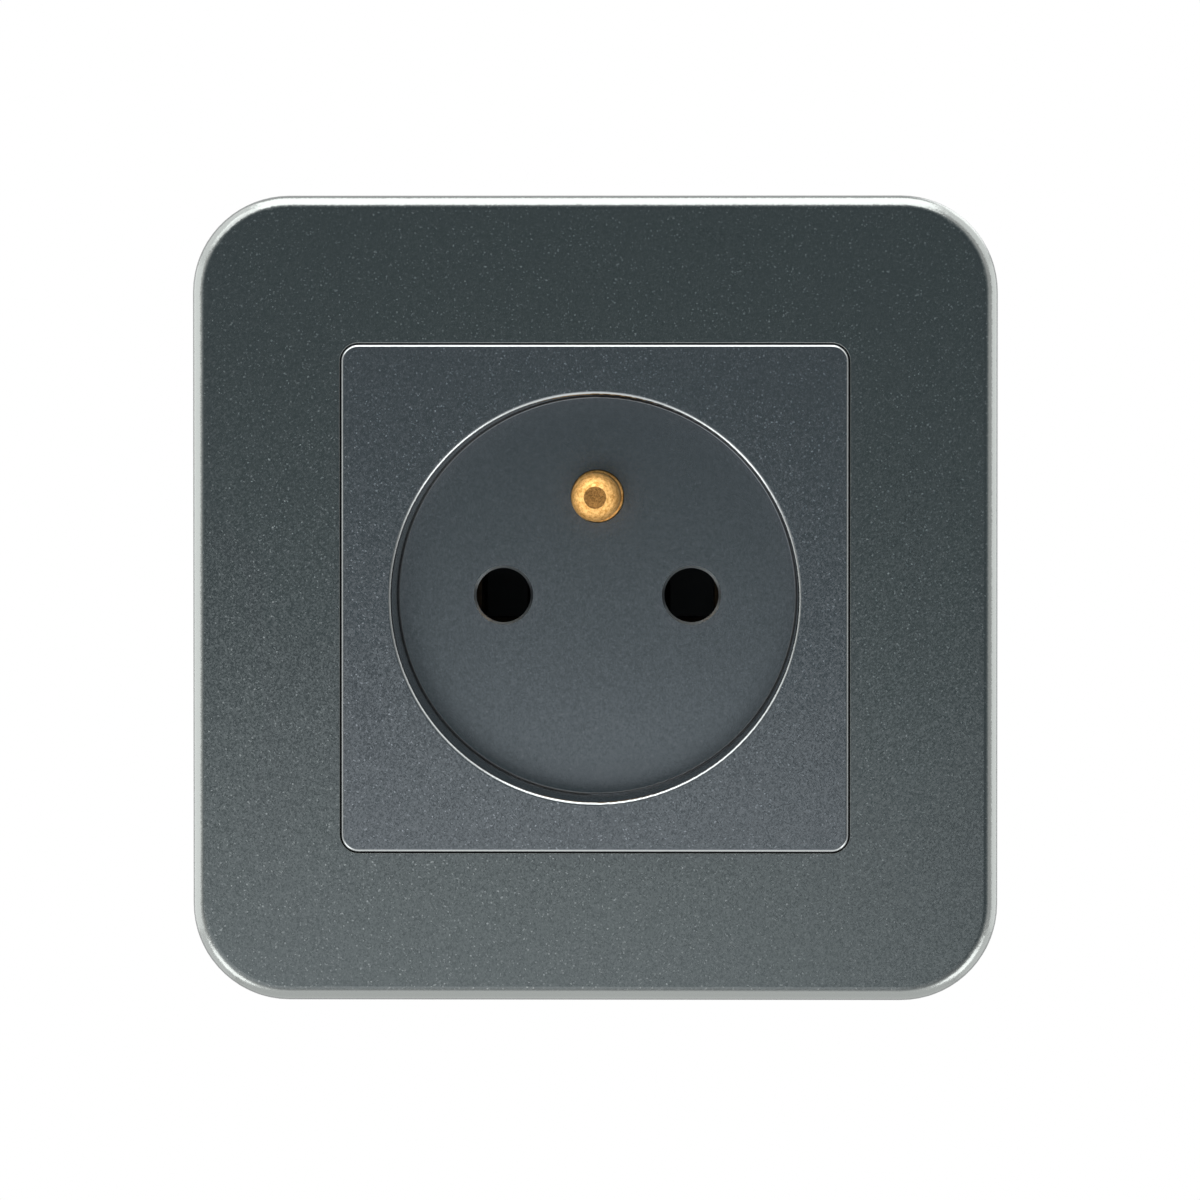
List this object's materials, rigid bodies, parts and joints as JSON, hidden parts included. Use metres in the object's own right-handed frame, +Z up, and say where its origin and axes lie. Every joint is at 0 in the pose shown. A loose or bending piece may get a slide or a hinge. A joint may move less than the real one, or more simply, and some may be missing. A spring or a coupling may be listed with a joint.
{
  "type": "type e wall socket",
  "caption": "Square flush wall socket with a round plug well, an earth pin, a steel support plate, a contact base behind it and claws that spread to grip the wall box.",
  "frame": {"origin": "on the socket's axis in the plane of the wall, midway between the box screw slots", "axes": "+X to the right and +Z up as the socket is seen, +Y into the wall"},
  "size_m": [0.08, 0.0368, 0.08],
  "materials": {
    "anthracite_paint": "metallic anthracite paint with fine flakes",
    "black_plastic": "moulded insulating plastic",
    "zinc_steel": "zinc plated",
    "brass": "turned and stamped"
  },
  "bodies": {
    "socket": {"outer_frame": "anthracite_paint", "cover_plate": "anthracite_paint", "support_plate": "zinc_steel", "contact_base": "black_plastic", "contact_lid": "black_plastic", "lid_screws": "zinc_steel", "earth_pin": "brass", "earth_strap": "brass", "earth_cage": "brass", "earth_terminal_screw": "zinc_steel", "left_contact": "brass", "right_contact": "brass", "left_cage": "brass", "right_cage": "brass", "left_terminal_screw": "zinc_steel", "right_terminal_screw": "zinc_steel"},
    "upper_screw": {"upper_claw_screw": "zinc_steel"},
    "upper_claw": {"upper_claw": "zinc_steel"},
    "lower_screw": {"lower_claw_screw": "zinc_steel"},
    "lower_claw": {"lower_claw": "zinc_steel"}
  },
  "joints": [
    {"name": "upper_screw_shift", "type": "slide", "parent": "socket", "child": "upper_screw", "axis": [0, 0, 1], "range_m": [0, 0.002]},
    {"name": "upper_claw_lift", "type": "slide", "parent": "upper_screw", "child": "upper_claw", "axis": [0, -1, 0], "range_m": [0, 0.005]},
    {"name": "lower_screw_shift", "type": "slide", "parent": "socket", "child": "lower_screw", "axis": [0, 0, -1], "range_m": [0, 0.002]},
    {"name": "lower_claw_lift", "type": "slide", "parent": "lower_screw", "child": "lower_claw", "axis": [0, -1, 0], "range_m": [0, 0.005]}
  ],
  "couplings": [
    {"joint": "upper_claw_lift", "follows": "upper_screw_shift", "ratio": 2.5},
    {"joint": "lower_claw_lift", "follows": "lower_screw_shift", "ratio": 2.5}
  ]
}
